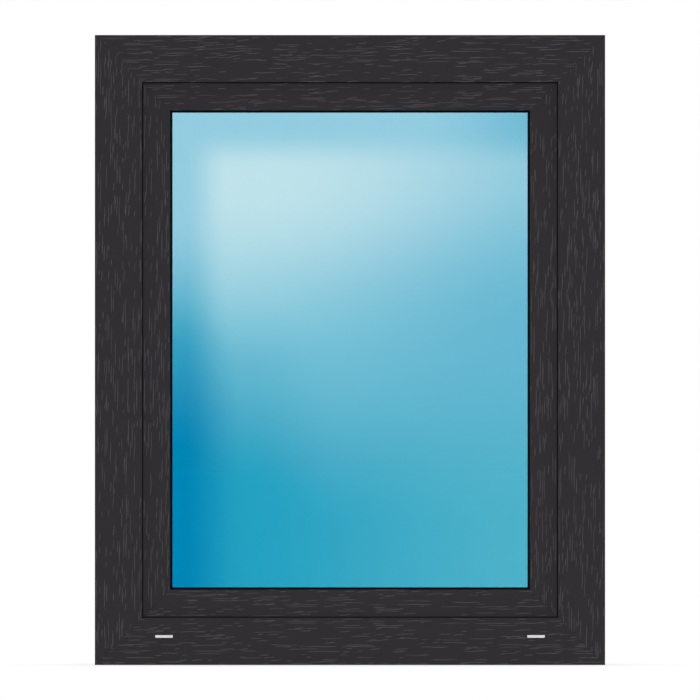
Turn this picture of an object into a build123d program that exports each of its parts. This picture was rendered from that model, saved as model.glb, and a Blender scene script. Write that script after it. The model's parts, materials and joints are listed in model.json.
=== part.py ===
import os

from build123d import *

os.makedirs("parts", exist_ok=True)

# Every length is in millimetres. Sections are drawn with u running inward from the window's outer edge
# and v running back from the outside face, which looks towards -Y. The sill's underside is at z = 0.

# Overall size
window_width = 810.0
window_height = 1000.0

# Outer frame section
frame_depth = 82.0
frame_face = 74.8
frame_leg = 22.0
rebate_floor = 48.0
rebate_fall = 3.0
rebate_flat = 22.0
clip_groove_width = 8.0
clip_groove_depth = 3.5
clip_groove_inset = 12.0
frame_groove_inset = 6.5
leg_web = 30.0

# Sash section
seal_gap = 4.0
sash_air = 12.0
sash_overlap = 8.0
flange_thickness = 22.0
sash_reach = 119.2
sash_leg = 18.0
glazing_depth = 22.0
gear_groove_width = 16.0
gear_groove_depth = 3.0
gear_groove_inset = 10.0
sash_groove_inset = 10.0
flange_groove_inset = 2.5

# Walls and webs shared by both sections
wall = 2.8
web = 1.6
seal_groove_width = 3.6
seal_groove_depth = 3.5
nose_radius = 0.8
edge_radius = 0.4

# Glass unit
pane_thickness = 4.0
pane_arris = 0.5
glass_clearance = 5.0
gasket_thickness = 3.0
outer_gasket_show = 3.7
inner_gasket_show = 2.0
gasket_cover = 14.0
gasket_slope = 1.4
spacer_setback = 5.0
spacer_width = 7.0
block_length = 100.0
block_inset = 80.0
block_margin = 1.0

# Glazing beads
bead_depth = 14.0
bead_lip = 3.0
bead_slope = 7.0
bead_wall = 2.0
bead_foot_width = 3.0
bead_foot_depth = 3.5
bead_foot_inset = 4.0

# Seals between frame and sash
frame_seal_show = 1.6
frame_seal_cover = 10.0
overlap_seal_width = 6.0
overlap_seal_draft = 1.2

# Drain slots and their caps
cap_length = 27.8
cap_height = 4.2
cap_round = 0.8
cap_thickness = 1.2
cap_edge = 0.3
cap_from_side = 109.7
cap_from_sill = 45.3
cap_rim = 0.7
cap_barb = 0.5
cap_barb_length = 2.0
cap_barb_taper = 2.0
cap_clearance = 0.1
drain_offset = 50.0

# Fixing holes in the jambs
fixing_diameter = 10.0
fixing_spacing = 640.0
fixing_setback = 43.0

# Handle
handle_from_side = 70.0
rosette_width = 30.0
rosette_height = 68.0
rosette_thickness = 11.0
rosette_edge = 1.8
collar_diameter = 24.0
collar_thickness = 4.0
neck_length = 20.0
neck_bend = 14.0
grip_length = 114.0
grip_width = 20.0
grip_thickness = 11.0
grip_end_round = 3.5

# Hinges
hinge_from_end = 95.0
hinge_height = 74.0
hinge_axis_in = 29.0
hinge_axis_back = 12.0
hinge_knuckle = 13.0
hinge_pin = 7.0
hinge_end_knuckle = 15.0
hinge_play = 0.3
hinge_plate = 3.0
hinge_plate_width = 26.0
hinge_plate_round = 4.0
hinge_pin_head = 1.6
leaf_thickness = 3.0
leaf_margin = 2.0
leaf_arm = 6.0

# Lines that the sections share, worked out from the sizes above
floor_front = rebate_floor - rebate_fall
floor_bend = frame_depth - rebate_flat
sash_front = frame_leg + seal_gap
flange_front = frame_depth + seal_gap
sash_back = flange_front + flange_thickness
sash_outer = rebate_floor + sash_air
flange_tip = rebate_floor - sash_overlap
leg_back = sash_front + sash_leg
glazing_floor = sash_reach - glazing_depth
glass_front = leg_back + gasket_thickness
bead_front = sash_back - bead_depth
glass_back = bead_front - gasket_thickness
glass_depth = glass_back - glass_front
pane_gap = (glass_depth - 3 * pane_thickness) / 2
glass_edge = glazing_floor + glass_clearance
frame_groove = frame_face - frame_groove_inset
sash_groove = sash_reach - sash_groove_inset
flange_groove = flange_tip + flange_groove_inset + seal_groove_width / 2
middle_height = window_height / 2
sides = ("bottom", "left", "top", "right")


def side_plane(side):
    """Section plane half-way along one side, its x running inward and its y running back."""
    front = -frame_depth / 2
    return {
        "bottom": Plane((0, front, 0), x_dir=(0, 0, 1), z_dir=(-1, 0, 0)),
        "left": Plane((-window_width / 2, front, middle_height), x_dir=(1, 0, 0), z_dir=(0, 0, 1)),
        "top": Plane((0, front, window_height), x_dir=(0, 0, -1), z_dir=(1, 0, 0)),
        "right": Plane((window_width / 2, front, middle_height), x_dir=(-1, 0, 0), z_dir=(0, 0, -1)),
    }[side]


def side_length(side):
    """Length of the window's outer edge along one side."""
    return window_width if side in ("bottom", "top") else window_height


def mitre_plane(side, end):
    """The 45 degree plane through an outer corner, facing the member that runs along this side."""
    plane = side_plane(side)
    corner = plane.origin + plane.z_dir * (end * side_length(side) / 2)
    return Plane(corner, x_dir=plane.y_dir, z_dir=plane.x_dir * -1 - plane.z_dir * end)


def edge_plane(side):
    """Plane on the outer edge of one side, looking inward, its y running back."""
    plane = side_plane(side)
    return Plane(plane.origin, x_dir=plane.z_dir * -1, z_dir=plane.x_dir)


def depth_plane(depth):
    """Upright plane at a depth behind the outside face, looking outwards, with its centre at mid-height."""
    return Plane((0, depth - frame_depth / 2, middle_height), x_dir=(1, 0, 0), z_dir=(0, -1, 0))


def corners(section, points):
    """The section's corners nearest to the given points."""
    return [section.vertices().sort_by_distance(point)[0] for point in points]


def finish(piece, name):
    """Names a finished piece and writes it."""
    piece.part.label = name
    export_step(piece.part, f"parts/{name}.step")


def frame_member(side):
    """One mitred length of the hollow outer frame."""
    nose = (frame_face, 0)
    outline = [
        (0, 0),
        nose,
        (frame_face, frame_leg),
        (floor_front, frame_leg),
        (rebate_floor, floor_bend),
        (rebate_floor, frame_depth),
        (0, frame_depth),
    ]
    back_web_middle = (rebate_floor + clip_groove_depth) / 2
    back_web_length = rebate_floor - clip_groove_depth - wall
    webs = [
        ((floor_front / 2, frame_leg - wall / 2), (floor_front - wall, web)),
        ((rebate_floor / 2, floor_bend - wall), (rebate_floor - wall, web)),
        ((back_web_middle, frame_depth - clip_groove_inset), (back_web_length, web)),
        ((leg_web, frame_leg / 2), (web, frame_leg - wall)),
    ]
    with BuildPart() as member:
        with BuildSketch(side_plane(side)) as section:
            with BuildLine():
                Polyline(*outline, close=True)
            make_face()
            for middle in (clip_groove_inset, frame_depth - clip_groove_inset):
                with Locations((clip_groove_depth / 2, middle)):
                    Rectangle(clip_groove_depth, clip_groove_width, mode=Mode.SUBTRACT)
            with Locations((frame_groove, frame_leg - seal_groove_depth / 2)):
                Rectangle(seal_groove_width, seal_groove_depth, mode=Mode.SUBTRACT)
            offset(amount=-wall, kind=Kind.INTERSECTION, mode=Mode.SUBTRACT)
            for place, size in webs:
                with Locations(place):
                    Rectangle(*size)
            fillet(corners(section, [nose, (rebate_floor, frame_depth)]), radius=nose_radius)
            fillet(corners(section, [(0, 0), (0, frame_depth)]), radius=edge_radius)
        extrude(amount=side_length(side) / 2, both=True)
        for end in (-1, 1):
            split(bisect_by=mitre_plane(side, end), keep=Keep.TOP)
    return member


def sash_member(side):
    """One mitred length of the hollow sash."""
    nose = (sash_reach, sash_front)
    flange_corner = (flange_tip, sash_back)
    outline = [
        (sash_outer, sash_front),
        nose,
        (sash_reach, leg_back),
        (glazing_floor, leg_back),
        (glazing_floor, sash_back),
        flange_corner,
        (flange_tip, flange_front),
        (sash_outer, flange_front),
    ]
    grooves = [
        ((sash_groove, leg_back - seal_groove_depth / 2), (seal_groove_width, seal_groove_depth)),
        ((flange_groove, flange_front + seal_groove_depth / 2), (seal_groove_width, seal_groove_depth)),
        (
            (sash_outer + gear_groove_depth / 2, flange_front - gear_groove_inset - gear_groove_width / 2),
            (gear_groove_depth, gear_groove_width),
        ),
        (
            (glazing_floor - bead_foot_depth / 2, bead_front + bead_foot_inset),
            (bead_foot_depth, bead_foot_width),
        ),
    ]
    web_middle = (sash_outer + glazing_floor) / 2
    web_length = glazing_floor - sash_outer - wall
    webs = [leg_back - wall / 2, flange_front - gear_groove_inset - gear_groove_width - wall, flange_front]
    with BuildPart() as member:
        with BuildSketch(side_plane(side)) as section:
            with BuildLine():
                Polyline(*outline, close=True)
            make_face()
            for place, size in grooves:
                with Locations(place):
                    Rectangle(*size, mode=Mode.SUBTRACT)
            offset(amount=-wall, kind=Kind.INTERSECTION, mode=Mode.SUBTRACT)
            for depth in webs:
                with Locations((web_middle, depth)):
                    Rectangle(web_length, web)
            fillet(corners(section, [nose, flange_corner]), radius=nose_radius)
            fillet(corners(section, [(flange_tip, flange_front)]), radius=edge_radius)
        extrude(amount=side_length(side) / 2, both=True)
        for end in (-1, 1):
            split(bisect_by=mitre_plane(side, end), keep=Keep.TOP)
    return member


def bead_member(side):
    """One mitred glazing bead with its clip foot in the sash's groove."""
    foot_middle = bead_front + bead_foot_inset
    shoulder = (sash_reach - bead_slope, sash_back)
    outline = [
        (glazing_floor, bead_front),
        (sash_reach, bead_front),
        (sash_reach, bead_front + bead_lip),
        shoulder,
        (glazing_floor, sash_back),
        (glazing_floor, foot_middle + bead_foot_width / 2),
        (glazing_floor - bead_foot_depth, foot_middle + bead_foot_width / 2),
        (glazing_floor - bead_foot_depth, foot_middle - bead_foot_width / 2),
        (glazing_floor, foot_middle - bead_foot_width / 2),
    ]
    chamber_start = glazing_floor + bead_wall
    chamber = [
        (chamber_start, bead_front + bead_wall),
        (sash_reach - bead_slope - bead_wall, bead_front + bead_wall),
        (sash_reach - bead_slope - bead_wall, sash_back - bead_wall),
        (chamber_start, sash_back - bead_wall),
    ]
    with BuildPart() as member:
        with BuildSketch(side_plane(side)) as section:
            with BuildLine():
                Polyline(*outline, close=True)
            make_face()
            fillet(corners(section, [shoulder]), radius=nose_radius)
            fillet(corners(section, [(sash_reach, bead_front + bead_lip)]), radius=edge_radius)
            with BuildLine():
                Polyline(*chamber, close=True)
            make_face(mode=Mode.SUBTRACT)
        extrude(amount=side_length(side) / 2, both=True)
        for end in (-1, 1):
            split(bisect_by=mitre_plane(side, end), keep=Keep.TOP)
    return member


def section_loop(outline):
    """A section swept once round the window, mitred at the four corners."""
    right = window_width / 2
    front = -frame_depth / 2
    lower_left = (-right, front, 0)
    lower_right = (right, front, 0)
    upper_right = (right, front, window_height)
    upper_left = (-right, front, window_height)
    with BuildPart() as loop:
        with BuildLine() as path:
            Polyline((0, front, 0), lower_left, upper_left, upper_right, lower_right, close=True)
        with BuildSketch(side_plane("bottom")):
            with BuildLine():
                Polyline(*outline, close=True)
            make_face()
        sweep(path=path.wire(), transition=Transition.RIGHT)
    return loop


def seal_foot(middle, face, depth):
    """Outline points of a seal's foot in its groove, from the low-u side to the high-u side."""
    half = seal_groove_width / 2
    return [(middle - half, face), (middle - half, depth), (middle + half, depth), (middle + half, face)]


# Outer frame: head, jambs with fixing holes, and a bottom rail that drains from the rebate
# into its front chamber and from there out under the caps
head = frame_member("top")
finish(head, "frame_head")

for side in ("left", "right"):
    with BuildPart() as jamb:
        add(frame_member(side).part)
        with BuildSketch(edge_plane(side)):
            with Locations((-fixing_spacing / 2, fixing_setback), (fixing_spacing / 2, fixing_setback)):
                Circle(fixing_diameter / 2)
        extrude(amount=rebate_floor, mode=Mode.SUBTRACT)
    finish(jamb, f"frame_{side}_jamb")

cap_places = {"left": cap_from_side - window_width / 2, "right": window_width / 2 - cap_from_side}
cap_level = cap_from_sill - middle_height
slot_length = cap_length - 2 * cap_rim
slot_height = cap_height - 2 * cap_rim
drain_places = (cap_places["left"] + drain_offset, cap_places["right"] - drain_offset)
drain_level = floor_front + slot_height / 2 - middle_height

with BuildPart() as bottom_rail:
    add(frame_member("bottom").part)
    with BuildSketch(depth_plane(0)):
        with Locations(*[(place, cap_level) for place in cap_places.values()]):
            SlotOverall(slot_length, slot_height)
    extrude(amount=-2 * wall, mode=Mode.SUBTRACT)
    with BuildSketch(depth_plane(frame_leg)):
        with Locations(*[(place, drain_level) for place in drain_places]):
            SlotOverall(slot_length, slot_height)
    extrude(amount=2 * wall, mode=Mode.SUBTRACT)
finish(bottom_rail, "frame_bottom_rail")

# Sash: two rails and two stiles
for side, name in zip(sides, ("bottom_rail", "left_stile", "top_rail", "right_stile")):
    sash = sash_member(side)
    finish(sash, f"sash_{name}")

# Glazing beads on the inside
for side in sides:
    bead = bead_member(side)
    finish(bead, f"bead_{side}")

# Glazing gaskets, one against each face of the glass
outer_gasket = section_loop(
    [
        (sash_reach - gasket_cover, leg_back),
        *seal_foot(sash_groove, leg_back, leg_back - seal_groove_depth),
        (sash_reach + outer_gasket_show - gasket_slope, leg_back),
        (sash_reach + outer_gasket_show, leg_back + gasket_slope),
        (sash_reach + outer_gasket_show, glass_front),
        (sash_reach - gasket_cover, glass_front),
    ]
)
finish(outer_gasket, "outer_glazing_gasket")

inner_gasket = section_loop(
    [
        (sash_reach - gasket_cover, glass_back),
        (sash_reach + inner_gasket_show, glass_back),
        (sash_reach + inner_gasket_show, bead_front - gasket_slope),
        (sash_reach + inner_gasket_show - gasket_slope, bead_front),
        (sash_reach - gasket_cover, bead_front),
    ]
)
finish(inner_gasket, "inner_glazing_gasket")

# Seals between frame and sash, one near the outside and one under the sash's overlap
frame_seal = section_loop(
    [
        (frame_face - frame_seal_cover, frame_leg),
        *seal_foot(frame_groove, frame_leg, frame_leg - seal_groove_depth),
        (frame_face, frame_leg),
        (frame_face + frame_seal_show, sash_front - seal_gap / 2),
        (frame_face + frame_seal_show, sash_front),
        (frame_face - frame_seal_cover + seal_gap, sash_front),
    ]
)
finish(frame_seal, "frame_seal")

overlap_near = flange_groove - overlap_seal_width / 2
overlap_far = flange_groove + overlap_seal_width / 2
overlap_seal = section_loop(
    [
        (overlap_near, flange_front),
        *seal_foot(flange_groove, flange_front, flange_front + seal_groove_depth),
        (overlap_far, flange_front),
        (overlap_far - overlap_seal_draft, frame_depth),
        (overlap_near + overlap_seal_draft, frame_depth),
    ]
)
finish(overlap_seal, "sash_overlap_seal")

# Glass unit: three panes and the two spacers between them
pane_width = window_width - 2 * glass_edge
pane_height = window_height - 2 * glass_edge
pane_pitch = pane_thickness + pane_gap
for index, name in enumerate(("outer", "middle", "inner")):
    with BuildPart() as pane:
        with BuildSketch(depth_plane(glass_front + index * pane_pitch)):
            Rectangle(pane_width, pane_height)
        extrude(amount=-pane_thickness)
        chamfer(pane.edges(), length=pane_arris)
    finish(pane, f"{name}_pane")

for index, name in enumerate(("outer", "inner")):
    with BuildPart() as spacer:
        with BuildSketch(depth_plane(glass_front + pane_thickness + index * pane_pitch)):
            Rectangle(pane_width - 2 * spacer_setback, pane_height - 2 * spacer_setback)
            inset = spacer_setback + spacer_width
            Rectangle(pane_width - 2 * inset, pane_height - 2 * inset, mode=Mode.SUBTRACT)
        extrude(amount=-pane_gap)
    finish(spacer, f"{name}_spacer")

# Setting blocks that carry the glass on the bottom rail of the sash
block_level = (glazing_floor + glass_edge) / 2 - middle_height
for side, sign in (("left", -1), ("right", 1)):
    with BuildPart() as block:
        with BuildSketch(depth_plane(glass_front - block_margin)):
            with Locations((sign * (pane_width / 2 - block_inset), block_level)):
                Rectangle(block_length, glass_clearance)
        extrude(amount=-glass_depth - 2 * block_margin)
    finish(block, f"setting_block_{side}")

# Drain caps, each a rounded plate with a flat barbed tab through the rail's front wall
for side, place in cap_places.items():
    with BuildPart() as cap:
        with BuildSketch(depth_plane(0)):
            with Locations((place, cap_level)):
                RectangleRounded(cap_length, cap_height, cap_round)
        extrude(amount=cap_thickness)
        chamfer(cap.faces().sort_by(Axis.Y)[0].edges(), length=cap_edge)
        with BuildSketch(depth_plane(0)):
            with Locations((place, cap_level)):
                Rectangle(slot_length - slot_height, slot_height - 2 * cap_clearance)
        extrude(amount=-wall - cap_barb_length)
        with BuildSketch(depth_plane(wall)):
            with Locations((place, cap_level)):
                Rectangle(slot_height, slot_height + 2 * cap_barb)
        extrude(amount=-cap_barb_length, taper=cap_barb_taper)
    finish(cap, f"drain_cap_{side}")

# Handle on the sash's right stile
handle_x = window_width / 2 - handle_from_side
with BuildPart() as rosette:
    with BuildSketch(depth_plane(sash_back)):
        with Locations((handle_x, 0)):
            SlotOverall(rosette_height, rosette_width, rotation=90)
    extrude(amount=-rosette_thickness)
    chamfer(rosette.faces().sort_by(Axis.Y)[-1].edges(), length=rosette_edge)
finish(rosette, "handle_rosette")

collar_plane = Plane((handle_x, sash_back + rosette_thickness - frame_depth / 2, middle_height), z_dir=(0, 1, 0))
neck_start = collar_plane.origin + collar_plane.z_dir * collar_thickness
neck_end = neck_start + collar_plane.z_dir * neck_length
grip_top = neck_end + Vector(0, neck_bend, -neck_bend)
with BuildPart() as lever:
    with BuildSketch(collar_plane):
        Circle(collar_diameter / 2)
    extrude(amount=collar_thickness)
    with BuildLine() as lever_path:
        neck = Line(neck_start, neck_end)
        bend = TangentArc(neck @ 1, grip_top, tangent=neck % 1)
        Line(bend @ 1, grip_top - Vector(0, 0, grip_length))
    with BuildSketch(Plane(neck_start, x_dir=(1, 0, 0), z_dir=(0, 1, 0))):
        SlotOverall(grip_width, grip_thickness)
    sweep(path=lever_path.wire())
    fillet(lever.faces().sort_by(Axis.Z)[0].edges(), radius=grip_end_round)
finish(lever, "handle_lever")

# Hinges on the left side: a bearing with its pin on the frame and a leaf on the edge of the sash
hinge_x = hinge_axis_in - window_width / 2
hinge_y = frame_depth / 2 + hinge_axis_back
leaf_face = flange_tip - window_width / 2
leaf_height = hinge_height - 2 * hinge_end_knuckle - 2 * hinge_play
leaf_depth = flange_thickness - 2 * leaf_margin
flange_middle = (flange_front + sash_back - frame_depth) / 2
for name, level in (("upper", window_height - hinge_from_end), ("lower", hinge_from_end)):
    base = level - hinge_height / 2
    with BuildPart() as bearing:
        with BuildSketch(depth_plane(frame_depth)):
            with Locations((hinge_x + (hinge_knuckle - hinge_plate_width) / 2, level - middle_height)):
                RectangleRounded(hinge_plate_width, hinge_height, hinge_plate_round)
        extrude(amount=-hinge_plate)
        for knuckle_base in (base, base + hinge_height - hinge_end_knuckle):
            with BuildSketch(Plane((hinge_x, hinge_y, knuckle_base))):
                Circle(hinge_knuckle / 2)
                with Locations((0, -hinge_axis_back / 2)):
                    Rectangle(hinge_knuckle, hinge_axis_back)
            extrude(amount=hinge_end_knuckle)
        with BuildSketch(Plane((hinge_x, hinge_y, base - hinge_pin_head))):
            Circle(hinge_pin / 2)
        extrude(amount=hinge_height + 2 * hinge_pin_head)
    finish(bearing, f"{name}_hinge_bearing")
    with BuildPart() as leaf:
        with BuildSketch(Plane((hinge_x, hinge_y, level - leaf_height / 2))):
            Circle(hinge_knuckle / 2)
            with Locations(((leaf_face - hinge_x) / 2, 0)):
                Rectangle(leaf_face - hinge_x, leaf_arm)
            with Locations((leaf_face - hinge_x - leaf_thickness / 2, flange_middle - hinge_y)):
                Rectangle(leaf_thickness, leaf_depth)
            Circle(hinge_pin / 2 + hinge_play, mode=Mode.SUBTRACT)
        extrude(amount=leaf_height)
    finish(leaf, f"{name}_hinge_leaf")
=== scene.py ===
import json
import math

import bmesh
import bpy
from mathutils import Matrix, Vector


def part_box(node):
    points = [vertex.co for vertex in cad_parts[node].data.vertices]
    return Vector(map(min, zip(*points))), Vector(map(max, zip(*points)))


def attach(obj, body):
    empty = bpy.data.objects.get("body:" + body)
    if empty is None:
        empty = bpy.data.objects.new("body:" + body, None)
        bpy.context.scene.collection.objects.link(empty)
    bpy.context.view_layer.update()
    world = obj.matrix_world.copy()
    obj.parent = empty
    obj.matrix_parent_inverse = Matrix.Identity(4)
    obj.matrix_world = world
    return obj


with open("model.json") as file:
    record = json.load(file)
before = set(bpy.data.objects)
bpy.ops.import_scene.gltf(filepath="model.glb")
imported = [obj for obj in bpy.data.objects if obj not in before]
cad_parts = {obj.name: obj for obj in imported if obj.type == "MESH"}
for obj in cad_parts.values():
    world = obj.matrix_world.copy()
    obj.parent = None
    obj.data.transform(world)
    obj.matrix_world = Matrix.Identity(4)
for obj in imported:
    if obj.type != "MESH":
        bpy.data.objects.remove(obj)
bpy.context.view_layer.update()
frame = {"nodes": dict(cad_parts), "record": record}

# Sizes in metres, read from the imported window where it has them
frame_low, frame_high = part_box("frame_left_jamb")
half_width = -frame_low.x
window_height = frame_high.z
half_height = window_height / 2
outside_face = frame_low.y
gasket_show = 0.0037
sight_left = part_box("bead_left")[1].x + gasket_show
sight_right = -sight_left
sight_bottom = window_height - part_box("bead_top")[0].z + gasket_show
sight_top = window_height - sight_bottom

# The photograph: a flat view from straight ahead, with the window 630 of 700 pixels tall
photo_pixels = 700
window_pixels = 630
lens_mm = 1200.0
sensor_mm = 36.0
picture_width = window_height * photo_pixels / window_pixels
camera_distance = picture_width * lens_mm / sensor_mm


def colour(red, green, blue):
    """A screen colour, 0 to 255, as the linear values that shaders take."""
    def linear(value):
        value /= 255
        return value / 12.92 if value <= 0.04045 else ((value + 0.055) / 1.055) ** 2.4
    return (linear(red), linear(green), linear(blue), 1.0)


def grey(level):
    """A grey of a linear brightness, 0 to 1."""
    return (level, level, level, 1.0)


# Sockets of the Mix node by number, because its colours share their names with other sockets
mix_share = 0
mix_first = 6
mix_second = 7
mix_result = 2


class Nodes:
    """Adds nodes to one shader tree and joins them up."""

    def __init__(self, tree):
        self.tree = tree

    def feed(self, socket, value):
        """Links a socket to another one, or sets it to a constant."""
        if isinstance(value, bpy.types.NodeSocket):
            self.tree.links.new(value, socket)
        else:
            socket.default_value = value

    def add(self, kind, inputs=None, **settings):
        """A new node with its settings made and its inputs fed."""
        node = self.tree.nodes.new(kind)
        for name, value in settings.items():
            setattr(node, name, value)
        for key, value in (inputs or {}).items():
            self.feed(node.inputs[key], value)
        return node

    def math(self, operation, *values):
        return self.add("ShaderNodeMath", dict(enumerate(values)), operation=operation).outputs[0]

    def between(self, share, low, high):
        """A straight run from low, at a share of 0, to high, at 1."""
        return self.math("MULTIPLY_ADD", share, high - low, low)

    def ramp(self, value, start, end, low=0.0, high=1.0):
        """A smooth step from low to high as the value goes from start to end."""
        inputs = {"Value": value, "From Min": start, "From Max": end, "To Min": low, "To Max": high}
        return self.add("ShaderNodeMapRange", inputs, interpolation_type="SMOOTHSTEP").outputs[0]

    def mix(self, share, first, second):
        """The first colour at a share of 0, the second at 1."""
        inputs = {mix_share: share, mix_first: first, mix_second: second}
        return self.add("ShaderNodeMix", inputs, data_type="RGBA").outputs[mix_result]

    def noise(self, vector, scale, detail):
        inputs = {"Vector": vector, "Scale": scale, "Detail": detail}
        return self.add("ShaderNodeTexNoise", inputs).outputs["Fac"]

    def random(self, x, y, z):
        """Three random values, 0 to 1, that belong to a cell."""
        cell = self.vector(x, y, z)
        drawn = self.add("ShaderNodeTexWhiteNoise", {"Vector": cell}).outputs["Color"]
        parts = self.add("ShaderNodeSeparateColor", {"Color": drawn}).outputs
        return parts[0], parts[1], parts[2]

    def vector(self, x, y, z):
        return self.add("ShaderNodeCombineXYZ", {"X": x, "Y": y, "Z": z}).outputs[0]

    def parts(self, vector):
        """The X, Y and Z of a vector."""
        outputs = self.add("ShaderNodeSeparateXYZ", {"Vector": vector}).outputs
        return outputs["X"], outputs["Y"], outputs["Z"]

    def place(self):
        """The object coordinates."""
        return self.add("ShaderNodeTexCoord").outputs["Object"]


surface_outputs = {"Color": "NodeSocketColor", "Roughness": "NodeSocketFloat", "Height": "NodeSocketFloat"}


def new_group(name, inputs):
    """A shader node group that puts out a surface: the group, its builder, its inputs and its outputs."""
    group = bpy.data.node_groups.new(name, "ShaderNodeTree")
    for label, kind in inputs.items():
        group.interface.new_socket(label, in_out="INPUT", socket_type=kind)
    for label, kind in surface_outputs.items():
        group.interface.new_socket(label, in_out="OUTPUT", socket_type=kind)
    n = Nodes(group)
    return group, n, n.add("NodeGroupInput").outputs, n.add("NodeGroupOutput").inputs


def new_material(name):
    """A material with its Principled shader and the builder of its tree."""
    material = bpy.data.materials.new(name)
    material.use_nodes = True
    nodes = Nodes(material.node_tree)
    return material, nodes, material.node_tree.nodes["Principled BSDF"]


# Most of a noise lies between these values
noise_low = 0.3
noise_high = 0.7

# Grain of the foil: broken lines along each member, which change direction at the mitres
long_dashes = {"lane": 0.0034, "pitch": 0.060, "share": 0.39, "slant": 0.15, "seed": 3.0}
short_dashes = {"lane": 0.0046, "pitch": 0.021, "share": 0.24, "slant": 0.30, "seed": 8.0}
line_width = 0.0011
grain_wave = 0.0018
wave_noise = {"scales": (45.0, 45.0), "detail": 1.0}
fibre_noise = {"scales": (60.0, 2200.0), "detail": 2.0}
cloud_noise = {"scales": (8.0, 60.0), "detail": 3.0}
seam_half_width = 0.0006
seam_fade = 0.0015
bare_depth = 0.0006

# One dash, in shares of its lane, its pitch, its half length or its width
lane_low = 0.3
lane_high = 0.7
longest_shift = 17.0
shortest_half = 0.16
longest_half = 0.48
end_start = 0.9
taper_start = 0.5
tip_width = 0.5
line_core = 0.35
line_edge = 0.65
faintest_dash = 0.60

# Fibres break the lines where their noise is low
break_start = 0.36
break_end = 0.56
broken_line = 0.60

# The foil's grey levels, how far fibres and seams take theirs, its roughness and its heights
foil_levels = {"Ground": 35, "Cloud": 39, "Fibres": 50, "Lines": 74, "Seam": 30, "Bare": 42}
less_green = 2
fibre_share = 0.3
seam_share = 0.4
ground_roughness = 0.5
line_roughness = 0.62
fibre_height = 0.3
seam_depth = 0.6


def dashes(n, along, across, lane, pitch, share, slant, seed):
    """A mask of lanes side by side, each with dashes of random length and place."""
    lanes = n.math("DIVIDE", across, lane)
    lane_number = n.math("FLOOR", lanes)
    shift = n.math("MULTIPLY", n.random(lane_number, 0.0, seed)[0], longest_shift)
    run = n.math("ADD", n.math("DIVIDE", along, pitch), shift)
    choice, length, offset = n.random(lane_number, n.math("FLOOR", run), seed + 1.0)
    from_middle = n.math("SUBTRACT", n.math("FRACT", run), 0.5)
    half_length = n.between(length, shortest_half, longest_half)
    run_out = n.math("DIVIDE", n.math("ABSOLUTE", from_middle), half_length)
    ends = n.ramp(run_out, end_start, 1.0, 1.0, 0.0)
    narrowing = n.ramp(run_out, taper_start, 1.0, 1.0, tip_width)
    line = n.math("ADD", n.between(offset, lane_low, lane_high), n.math("MULTIPLY", from_middle, slant))
    from_line = n.math("ABSOLUTE", n.math("SUBTRACT", n.math("FRACT", lanes), line))
    aside = n.math("DIVIDE", from_line, narrowing)
    width = n.ramp(aside, line_width / lane * line_core, line_width / lane * line_edge, 1.0, 0.0)
    strength = n.between(n.math("DIVIDE", choice, share), 1.0, faintest_dash)
    drawn = n.math("MULTIPLY", strength, n.math("LESS_THAN", choice, share))
    return n.math("MULTIPLY", n.math("MULTIPLY", ends, width), drawn)


def make_grain_group():
    """Wood grain along each member, in the tones that a foil gives it."""
    sockets = {name: "NodeSocketColor" for name in foil_levels}
    group, n, tones, surface = new_group("foil_grain", sockets)
    x, y, z = n.parts(n.place())
    above_middle = n.math("SUBTRACT", z, half_height)
    from_side = n.math("SUBTRACT", half_width, n.math("ABSOLUTE", x))
    from_end = n.math("SUBTRACT", half_height, n.math("ABSOLUTE", above_middle))
    upright = n.math("LESS_THAN", from_side, from_end)
    level = n.math("SUBTRACT", 1.0, upright)

    def by_member(on_upright, on_level):
        """The first value on the jambs and stiles, the second on the rails."""
        return n.math("ADD", n.math("MULTIPLY", on_upright, upright), n.math("MULTIPLY", on_level, level))

    along = by_member(z, x)
    outwards = by_member(n.math("SIGN", x), n.math("SIGN", above_middle))
    straight = n.math("ADD", by_member(x, z), n.math("MULTIPLY", y, outwards))

    def grain_noise(across, layer, scales, detail):
        """Noise with a scale of its own along the member and another across it."""
        along_scale, across_scale = scales
        scaled_across = n.math("MULTIPLY", across, across_scale)
        return n.noise(n.vector(n.math("MULTIPLY", along, along_scale), scaled_across, layer), 1.0, detail)

    wave = grain_noise(straight, upright, **wave_noise)
    across = n.math("ADD", straight, n.between(wave, -grain_wave, grain_wave))
    fibres = grain_noise(across, upright, **fibre_noise)
    cloud = grain_noise(across, y, **cloud_noise)
    long_lines = dashes(n, along, across, **long_dashes)
    short_lines = dashes(n, along, across, **short_dashes)
    broken = n.ramp(fibres, break_start, break_end, broken_line, 1.0)
    lines = n.math("MULTIPLY", n.math("MAXIMUM", long_lines, short_lines), broken)
    seam_distance = n.math("ABSOLUTE", n.math("SUBTRACT", from_side, from_end))
    seam = n.ramp(seam_distance, seam_half_width, seam_fade, 1.0, 0.0)
    bare = n.math("LESS_THAN", n.math("MINIMUM", from_side, from_end), bare_depth)

    clouded = n.mix(cloud, tones["Ground"], tones["Cloud"])
    fibrous = n.mix(n.ramp(fibres, noise_low, noise_high, 0.0, fibre_share), clouded, tones["Fibres"])
    grained = n.mix(lines, fibrous, tones["Lines"])
    seamed = n.mix(n.math("MULTIPLY", seam, seam_share), grained, tones["Seam"])
    raised = n.math("SUBTRACT", lines, n.math("MULTIPLY", seam, seam_depth))
    n.feed(surface["Color"], n.mix(bare, seamed, tones["Bare"]))
    n.feed(surface["Roughness"], n.between(lines, ground_roughness, line_roughness))
    n.feed(surface["Height"], n.math("ADD", raised, n.math("MULTIPLY", fibres, fibre_height)))
    return group


fine_noise = {"scale": 1400.0, "detail": 2.0}
mottle_noise = {"scale": 35.0, "detail": 3.0}


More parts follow.
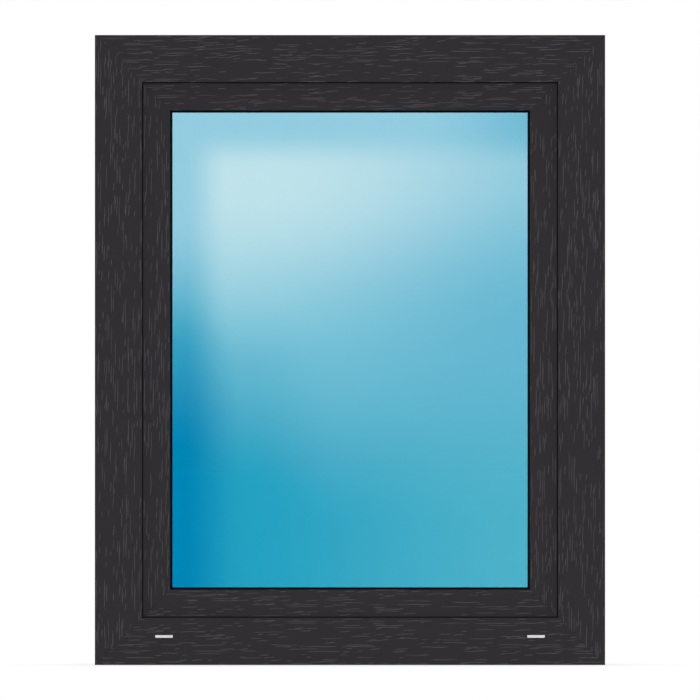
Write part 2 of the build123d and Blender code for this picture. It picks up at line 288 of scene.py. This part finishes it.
def make_speckle_group():
    """Fine texture with slightly mottled tone, for the plastic, rubber and metal pieces."""
    sockets = {"Dark": "NodeSocketColor", "Light": "NodeSocketColor"}
    sockets |= {"Smoothest": "NodeSocketFloat", "Roughest": "NodeSocketFloat"}
    group, n, own, surface = new_group("speckle", sockets)
    place = n.place()
    fine = n.noise(place, **fine_noise)
    n.feed(surface["Color"], n.mix(n.noise(place, **mottle_noise), own["Dark"], own["Light"]))
    n.feed(surface["Roughness"], n.ramp(fine, noise_low, noise_high, own["Smoothest"], own["Roughest"]))
    n.feed(surface["Height"], fine)
    return group


grain_group = make_grain_group()
speckle_group = make_speckle_group()

# Relief is the strength of a bump and its height in metres
foil_relief = {"Strength": 0.3, "Distance": 0.0002}
rubber_relief = {"Strength": 0.2, "Distance": 0.0001}
plain_relief = {"Strength": 0.12, "Distance": 0.0001}
rubber_roughness = {"Smoothest": 0.55, "Roughest": 0.75}
roughness_spread = 0.06
foil_shine = 0.12
rubber_shine = 0.03


def make_finish(name, group, values, relief, shine, metallic=0.0):
    """A material whose colour, roughness and relief come from a group, with the finish's own values."""
    material, n, shader = new_material(name)
    surface = n.add("ShaderNodeGroup", values, node_tree=group).outputs
    n.feed(shader.inputs["Base Color"], surface["Color"])
    n.feed(shader.inputs["Roughness"], surface["Roughness"])
    raised = n.add("ShaderNodeBump", {"Height": surface["Height"], **relief})
    n.feed(shader.inputs["Normal"], raised.outputs[0])
    shader.inputs["Metallic"].default_value = metallic
    shader.inputs["Specular IOR Level"].default_value = shine
    return material


def make_foil(name, lift):
    """Dark foil with pale grain. The lift makes all its tones lighter."""
    tones = {}
    for part, level in foil_levels.items():
        tones[part] = colour(level + lift, level + lift - less_green, level + lift)
    return make_finish(name, grain_group, tones, foil_relief, foil_shine)


def make_rubber(name, dark, light):
    values = {"Dark": colour(*dark), "Light": colour(*light), **rubber_roughness}
    return make_finish(name, speckle_group, values, rubber_relief, rubber_shine)


def make_plain(name, dark, light, roughness, metallic=0.0, shine=0.3):
    """A moulded, cast or painted finish."""
    values = {"Dark": colour(*dark), "Light": colour(*light)}
    values |= {"Smoothest": roughness - roughness_spread, "Roughest": roughness + roughness_spread}
    return make_finish(name, speckle_group, values, plain_relief, shine, metallic)


# Glass: how far it bends light, and its faint smears and shades
glass_bend = 1.2
smear_noise = {"scale": 3.0, "detail": 2.0}
shade_noise = {"scale": 2.0, "detail": 2.0}
mirrored_blue = colour(60, 170, 205)

# Tones of the painted sky reflection on the outer pane, put into the glass's own colour
pale = colour(197, 228, 236)
light = colour(153, 206, 225)
haze = colour(136, 198, 220)
sky = colour(106, 184, 211)
water = colour(79, 177, 201)
bright = colour(124, 196, 217)
teal = colour(36, 161, 193)
strong = colour(70, 172, 201)
deep = colour(0, 135, 182)

# Where the tones fade into each other, in shares of the pane's width or height
teal_to_bright = (0.20, 0.64)
bright_to_pale = (0.46, 0.85)
water_to_sky = (0.12, 0.56)
sky_to_haze = (0.52, 0.90)
deep_to_strong = (0.28, 0.66)
strong_to_light = (0.50, 0.80)
light_to_sky = (0.65, 1.15)
lean = (0.20, 0.50)
lean_rise = 0.08
crossing_heights = (0.60, 0.90)
crossing_starts = (0.16, 0.26)
crossing_ends = (1.02, 1.30)
side_border_start = 0.03
side_border_heights = (0.35, 0.65)
side_border_ends = (0.21, 0.16)
top_border = (0.88, 0.965)


def pane_middle(n, right, up):
    """The painted sky reflection inside the border: teal low on the left, pale above it, and evener on the
    right.
    """
    leaning_up = n.math("ADD", up, n.ramp(right, *lean, 0.0, lean_rise))
    low_left = n.mix(n.ramp(leaning_up, *teal_to_bright), teal, bright)
    low_right = n.mix(n.ramp(up, *water_to_sky), water, sky)
    left_column = n.mix(n.ramp(up, *bright_to_pale), low_left, pale)
    right_column = n.mix(n.ramp(up, *sky_to_haze), low_right, haze)
    crossing_start = n.ramp(up, *crossing_heights, *crossing_starts)
    crossing_end = n.ramp(up, *crossing_heights, *crossing_ends)
    return n.mix(n.ramp(right, crossing_start, crossing_end), left_column, right_column)


def pane_border(n, right, up):
    """The painted reflection along the left and upper edges: deep low down, light above."""
    low = n.mix(n.ramp(up, *deep_to_strong), deep, strong)
    high = n.mix(n.ramp(right, *light_to_sky), light, sky)
    return n.mix(n.ramp(up, *strong_to_light), low, high)


def new_glass(name, smoothest, roughest):
    """A clear material with faint smears, its builder, its shader and its place."""
    material, n, shader = new_material(name)
    place = n.place()
    smears = n.noise(place, **smear_noise)
    n.feed(shader.inputs["Roughness"], n.ramp(smears, noise_low, noise_high, smoothest, roughest))
    shader.inputs["IOR"].default_value = glass_bend
    shader.inputs["Transmission Weight"].default_value = 1.0
    return material, n, shader, place


def make_painted_reflection_glass():
    """The outer pane: a painted sky reflection in its colour, sky blue, with a border of painted reflection
    on the left and above.
    """
    material, n, shader, place = new_glass("painted_reflection_glass", smoothest=0.01, roughest=0.03)
    x, _, z = n.parts(place)
    right = n.math("DIVIDE", n.math("SUBTRACT", x, sight_left), sight_right - sight_left)
    up = n.math("DIVIDE", n.math("SUBTRACT", z, sight_bottom), sight_top - sight_bottom)
    side_border_end = n.ramp(up, *side_border_heights, *side_border_ends)
    inside_left = n.ramp(right, side_border_start, side_border_end)
    inside = n.math("MULTIPLY", inside_left, n.ramp(up, *top_border, 1.0, 0.0))
    # The pane's base colour is a painted sky reflection
    n.feed(shader.inputs["Base Color"], n.mix(inside, pane_border(n, right, up), pane_middle(n, right, up)))
    shader.inputs["Specular Tint"].default_value = mirrored_blue
    return material


def make_clear_glass():
    material, n, shader, place = new_glass("clear_glass", smoothest=0.0, roughest=0.02)
    shades = n.noise(place, **shade_noise)
    n.feed(shader.inputs["Base Color"], n.mix(shades, colour(251, 254, 254), colour(253, 255, 255)))
    return material


# The sash lies back in the frame's shade, so its foil is made a little lighter
sash_lift = 1.5
finishes = {
    "foil_frame": make_foil("frame_foil", 0.0),
    "foil_sash": make_foil("sash_foil", sash_lift),
    "glazing_gasket": make_rubber("black_rubber", (2, 9, 16), (8, 14, 20)),
    "weather_seal": make_rubber("soft_black_rubber", (11, 10, 11), (15, 14, 15)),
    "outer_glass": make_painted_reflection_glass(),
    "middle_glass": make_clear_glass(),
    "spacer": make_plain("black_spacer", (30, 30, 32), (42, 42, 44), roughness=0.6),
    "setting_block": make_plain("setting_block_plastic", (52, 52, 54), (66, 66, 68), roughness=0.55),
    "drain_cap": make_plain("pale_cap_plastic", (200, 200, 201), (212, 212, 213), roughness=0.45, shine=0.2),
    "handle": make_plain("satin_aluminium", (168, 169, 171), (190, 191, 193), roughness=0.38, metallic=1.0),
    "hinge": make_plain("satin_grey_paint", (150, 151, 153), (164, 165, 167), roughness=0.42),
}
finishes["foil_bead"] = finishes["foil_sash"]
finishes["inner_glass"] = finishes["middle_glass"]

for row in frame["record"]["subparts"]:
    for material_slot in frame["nodes"][row["node"]].material_slots:
        material_slot.material = finishes[row["material_slot"]]


# Screws in the plates of the two hinges, with their turns in radians
hinge_plate = 0.003
hinge_strip = 0.0065
screw_spacing = 0.025
screw_radius = 0.0034
screw_rim = 0.0004
screw_dome = 0.0007
screw_sink = 0.0002
screw_cells = 5
recess_depth = 0.0008
recess_slope = 0.00015
middle_turn = 0.4
turn_by_screw = 0.9
turn_by_hinge = 0.5


def make_screw_head():
    """A mesh of one raised screw head with a cross recess, facing up."""
    shape = bmesh.new()
    bmesh.ops.create_grid(shape, x_segments=screw_cells, y_segments=screw_cells, size=screw_radius)
    rim_edges = [edge for edge in shape.edges if edge.is_boundary]
    for vert in shape.verts:
        if vert.is_boundary:
            vert.co = vert.co.normalized() * screw_radius
        vert.co.z = screw_rim + screw_dome * (1.0 - (vert.co.xy.length / screw_radius) ** 2)
    cell = 2 * screw_radius / screw_cells
    cross = []
    for face in shape.faces:
        near, far = sorted(abs(value) for value in face.calc_center_median().xy)
        if near < cell / 2 and far < cell * 1.5:
            cross.append(face)
    bmesh.ops.inset_region(shape, faces=cross, thickness=recess_slope, depth=-recess_depth)
    skirt = bmesh.ops.extrude_edge_only(shape, edges=rim_edges)["geom"]
    for vert in skirt:
        if isinstance(vert, bmesh.types.BMVert):
            vert.co.z = -screw_sink
    bmesh.ops.holes_fill(shape, edges=[edge for edge in skirt if isinstance(edge, bmesh.types.BMEdge)])
    bmesh.ops.recalc_face_normals(shape, faces=shape.faces)
    head = bpy.data.meshes.new("screw_head")
    shape.to_mesh(head)
    shape.free()
    return head


def make_hinge_screws():
    """Three screws in each hinge plate, each with its recess turned another way."""
    head = make_screw_head()
    facing_room = Matrix.Rotation(-math.pi / 2, 4, "X")
    shape = bmesh.new()
    for number, name in enumerate(("upper_hinge_bearing", "lower_hinge_bearing")):
        plate_low, plate_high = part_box(name)
        plate_middle = (plate_low.z + plate_high.z) / 2
        for step in (-1, 0, 1):
            height = plate_middle + step * screw_spacing
            place = Matrix.Translation((plate_low.x + hinge_strip, plate_low.y + hinge_plate, height))
            turn = middle_turn + turn_by_screw * step + turn_by_hinge * number
            screw = head.copy()
            screw.transform(place @ facing_room @ Matrix.Rotation(turn, 4, "Z"))
            shape.from_mesh(screw)
            bpy.data.meshes.remove(screw)
    bpy.data.meshes.remove(head)
    mesh = bpy.data.meshes.new("hinge_screws")
    shape.to_mesh(mesh)
    shape.free()
    zinc = make_plain("zinc_screws", (160, 162, 166), (182, 184, 188), roughness=0.35, metallic=1.0)
    mesh.materials.append(zinc)
    screws = bpy.data.objects.new("hinge_screws", mesh)
    bpy.context.collection.objects.link(screws)
    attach(screws, "root")


make_hinge_screws()


# Camera and light: level from straight ahead, white all round
camera_data = bpy.data.cameras.new("camera")
camera_data.lens = lens_mm
camera_data.sensor_width = sensor_mm
camera = bpy.data.objects.new("camera", camera_data)
camera.location = (0.0, outside_face - camera_distance, half_height)
camera.rotation_euler = (math.radians(90), 0.0, 0.0)
bpy.context.collection.objects.link(camera)
bpy.context.scene.camera = camera

ambient_strength = 0.15
floor_half_size = 60.0
floor_gap = 0.0002
floor_glow = 0.6
floor_white = 0.93
sun_strength = (1.0 - ambient_strength) * math.pi

# Each sun's direction, its share of the strength and its spread in degrees
suns = {
    "front": ((0, 1, 0), 1.0, 4.0),
    "back": ((0, -1, 0), 1.0, 30.0),
    "left": ((1, 0, 0), 0.75, 30.0),
    "right": ((-1, 0, 0), 0.65, 30.0),
    "top": ((0, 0, -1), 1.0, 30.0),
}
for name, (direction, share, spread) in suns.items():
    sun = bpy.data.lights.new(f"{name}_sun", "SUN")
    sun.energy = sun_strength * share
    sun.angle = math.radians(spread)
    sun_object = bpy.data.objects.new(f"{name}_sun", sun)
    sun_object.rotation_euler = Vector(direction).to_track_quat("-Z", "Y").to_euler()
    sun_object.visible_glossy = False
    sun_object.visible_transmission = False
    bpy.context.collection.objects.link(sun_object)


def seen_directly(n):
    """One for rays that show a thing to the eye, by itself, in a reflection or through glass."""
    path = n.add("ShaderNodeLightPath").outputs
    mirrored = n.math("MAXIMUM", path["Is Glossy Ray"], path["Is Transmission Ray"])
    return n.math("MAXIMUM", path["Is Camera Ray"], mirrored)


def make_world():
    """White to look at, with less light on the window than it shows."""
    world = bpy.data.worlds.new("white_world")
    world.use_nodes = True
    bpy.context.scene.world = world
    n = Nodes(world.node_tree)
    background = world.node_tree.nodes["Background"]
    background.inputs["Color"].default_value = grey(1.0)
    n.feed(background.inputs["Strength"], n.ramp(seen_directly(n), 0.0, 1.0, ambient_strength, 1.0))


def make_floor_paint():
    """White to look at, and no brighter than the world in the light that it sends back."""
    material, n, shader = new_material("white_floor")
    material.node_tree.nodes.remove(shader)
    shown = seen_directly(n)
    dim = grey(ambient_strength)
    lit = n.add("ShaderNodeBsdfDiffuse", {"Color": n.mix(shown, dim, grey(floor_white))})
    glow = n.add("ShaderNodeEmission", {"Color": n.mix(shown, dim, grey(1.0))})
    blend = n.add("ShaderNodeMixShader", {0: floor_glow, 1: lit.outputs[0], 2: glow.outputs[0]})
    n.feed(material.node_tree.nodes["Material Output"].inputs["Surface"], blend.outputs[0])
    return material


def make_floor():
    """A wide floor just under the window, which keeps a soft shadow and lets the level suns through."""
    mesh = bpy.data.meshes.new("floor")
    shape = bmesh.new()
    bmesh.ops.create_grid(shape, x_segments=1, y_segments=1, size=floor_half_size)
    bmesh.ops.translate(shape, verts=shape.verts, vec=(0.0, 0.0, -floor_gap))
    shape.to_mesh(mesh)
    shape.free()
    mesh.materials.append(make_floor_paint())
    floor = bpy.data.objects.new("floor", mesh)
    floor.visible_shadow = False
    bpy.context.collection.objects.link(floor)


make_world()
make_floor()

bpy.context.scene.view_settings.view_transform = "Standard"
